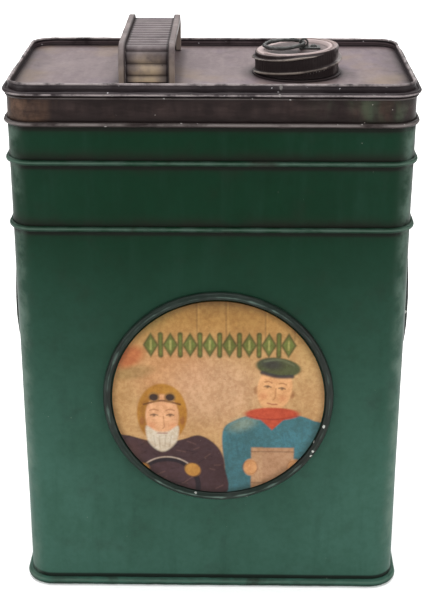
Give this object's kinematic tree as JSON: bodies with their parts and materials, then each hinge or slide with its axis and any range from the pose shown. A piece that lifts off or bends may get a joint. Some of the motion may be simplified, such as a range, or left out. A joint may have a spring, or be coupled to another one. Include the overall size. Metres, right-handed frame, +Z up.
{
  "type": "motor oil can",
  "caption": "Oblong green tinplate oil can with banded walls, brown collar, ribbed strap handle, threaded pour cap with a pull ring, and round framed pictures.",
  "frame": {"origin": "on the table plane, under the middle of the can's base", "axes": "+Z up, front face with the large picture towards -Y, pour cap towards +X"},
  "size_m": [0.1748, 0.0978, 0.2532],
  "materials": {
    "green_enamel": "satin aged enamel",
    "dark_tin": "dull tin",
    "brown_lacquer": "satin lacquer with rust rub",
    "aged_top_paint": "aged satin paint",
    "bare_steel": "dull",
    "dark_steel": "dark aged",
    "cap_paint": "aged satin paint",
    "gasket_rubber": "matt",
    "frame_paint": "worn satin paint",
    "printed_picture": "varnished print"
  },
  "bodies": {
    "can": {"body_shell": "green_enamel", "bottom_panel": "dark_tin", "base_rim": "green_enamel", "lower_band_bead": "green_enamel", "upper_band_bead": "green_enamel", "collar_bead": "brown_lacquer", "collar_band": "brown_lacquer", "collar_step_bead": "brown_lacquer", "top_lip": "aged_top_paint", "top_rim": "aged_top_paint", "top_panel": "aged_top_paint", "handle_strap": "aged_top_paint", "handle_rail_left": "aged_top_paint", "handle_rail_right": "aged_top_paint", "handle_rivets": "bare_steel", "neck_tube": "bare_steel", "neck_flange": "aged_top_paint", "front_medallion_frame": "frame_paint", "front_medallion_disc": "printed_picture", "left_medallion_frame": "frame_paint", "left_medallion_disc": "printed_picture", "right_medallion_frame": "frame_paint", "right_medallion_disc": "printed_picture"},
    "cap_liner": {"cap_gasket": "gasket_rubber"},
    "cap": {"cap_shell": "cap_paint", "cap_top_disc": "cap_paint", "ring_keeper": "dark_steel", "keeper_rivet": "dark_steel"},
    "ring": {"pull_ring": "dark_steel"}
  },
  "joints": [
    {"name": "cap_lift", "type": "slide", "parent": "can", "child": "cap_liner", "axis": [0, 0, 1], "range_m": [0, 0.015]},
    {"name": "cap_turn", "type": "hinge", "parent": "cap_liner", "child": "cap", "pos_m": [0.0361, -0.009, 0.24], "axis": [0, 0, 1], "range_deg": [0, 450]},
    {"name": "ring_flip", "type": "hinge", "parent": "cap", "child": "ring", "pos_m": [0.039, -0.009, 0.2485], "axis": [0, 1, 0], "range_deg": [0, 180]}
  ],
  "couplings": [
    {"joint": "cap_lift", "follows": "cap_turn", "m_per_rad": 0.0019099}
  ]
}
